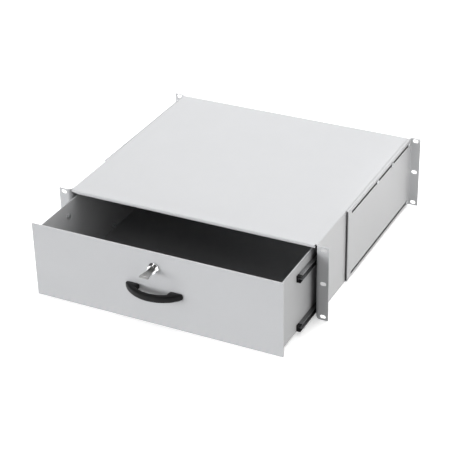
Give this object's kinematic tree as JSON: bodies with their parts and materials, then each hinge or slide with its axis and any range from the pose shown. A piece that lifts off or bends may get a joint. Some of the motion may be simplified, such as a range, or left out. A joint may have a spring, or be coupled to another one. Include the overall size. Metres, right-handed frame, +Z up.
{
  "type": "sliding rack drawer",
  "caption": "Lockable sheet-metal rack drawer on ball slides in a folded case with slotted front ears and adjustable rear brackets, bow handle and key lock.",
  "frame": {"origin": "centre of the front ears' slot pattern, on the front face of the ears", "axes": "+X to the right seen from the front, +Y towards the back of the rack, +Z up; the drawer opens along -Y"},
  "size_m": [0.4826, 0.5611, 0.1324],
  "materials": {
    "painted_sheet": "fine matt powder coat, light grey",
    "slide_steel": "zinc plated, satin",
    "zinc_fastener": "zinc plated",
    "bearing_steel": "polished balls",
    "cage_strip": "stamped strip",
    "rubber": "matt",
    "black_moulding": "fine grained",
    "chrome": "polished",
    "brass": "turned",
    "key_steel": "nickel plated, satin"
  },
  "bodies": {
    "case": {"case_cover": "painted_sheet", "case_back": "painted_sheet", "closed_buffers": "rubber", "open_stops": "zinc_fastener", "case_rail_lower_right": "slide_steel", "case_rail_lower_left": "slide_steel", "case_rail_upper_right": "slide_steel", "case_rail_upper_left": "slide_steel", "bracket_spacers": "zinc_fastener", "bracket_screws": "zinc_fastener"},
    "drawer": {"drawer_tray": "painted_sheet", "drawer_back": "painted_sheet", "front_panel": "painted_sheet", "panel_studs": "zinc_fastener", "panel_nuts": "zinc_fastener", "drawer_channel_lower_right": "slide_steel", "drawer_channel_lower_left": "slide_steel", "drawer_channel_upper_right": "slide_steel", "drawer_channel_upper_left": "slide_steel", "channel_caps": "black_moulding", "channel_screws": "zinc_fastener", "channel_nuts": "zinc_fastener", "handle": "black_moulding", "handle_screws": "zinc_fastener", "lock_housing": "chrome", "lock_nut": "brass"},
    "slide_cages": {"ball_cages": "cage_strip", "slide_balls": "bearing_steel"},
    "lock_plug": {"lock_plug": "chrome", "lock_cam": "zinc_fastener", "cam_screw": "zinc_fastener"},
    "key": {"key": "key_steel"},
    "right_bracket": {"rear_bracket_right": "painted_sheet"},
    "left_bracket": {"rear_bracket_left": "painted_sheet"}
  },
  "joints": [
    {"name": "drawer_slide", "type": "slide", "parent": "case", "child": "drawer", "axis": [0, -1, 0], "range_m": [-0.1165, 0.1535]},
    {"name": "cage_travel", "type": "slide", "parent": "case", "child": "slide_cages", "axis": [0, -1, 0], "range_m": [-0.05825, 0.07675]},
    {"name": "lock_turn", "type": "hinge", "parent": "drawer", "child": "lock_plug", "pos_m": [0, -0.1255, 0.03675], "axis": [0, -1, 0], "range_deg": [0, 90]},
    {"name": "key_pull", "type": "slide", "parent": "lock_plug", "child": "key", "axis": [0, -1, 0], "range_m": [0, 0.022]},
    {"name": "right_bracket_slide", "type": "slide", "parent": "case", "child": "right_bracket", "axis": [0, 1, 0], "range_m": [0, 0.108]},
    {"name": "left_bracket_slide", "type": "slide", "parent": "case", "child": "left_bracket", "axis": [0, 1, 0], "range_m": [0, 0.108]}
  ],
  "couplings": [
    {"joint": "cage_travel", "follows": "drawer_slide", "ratio": 0.5}
  ]
}
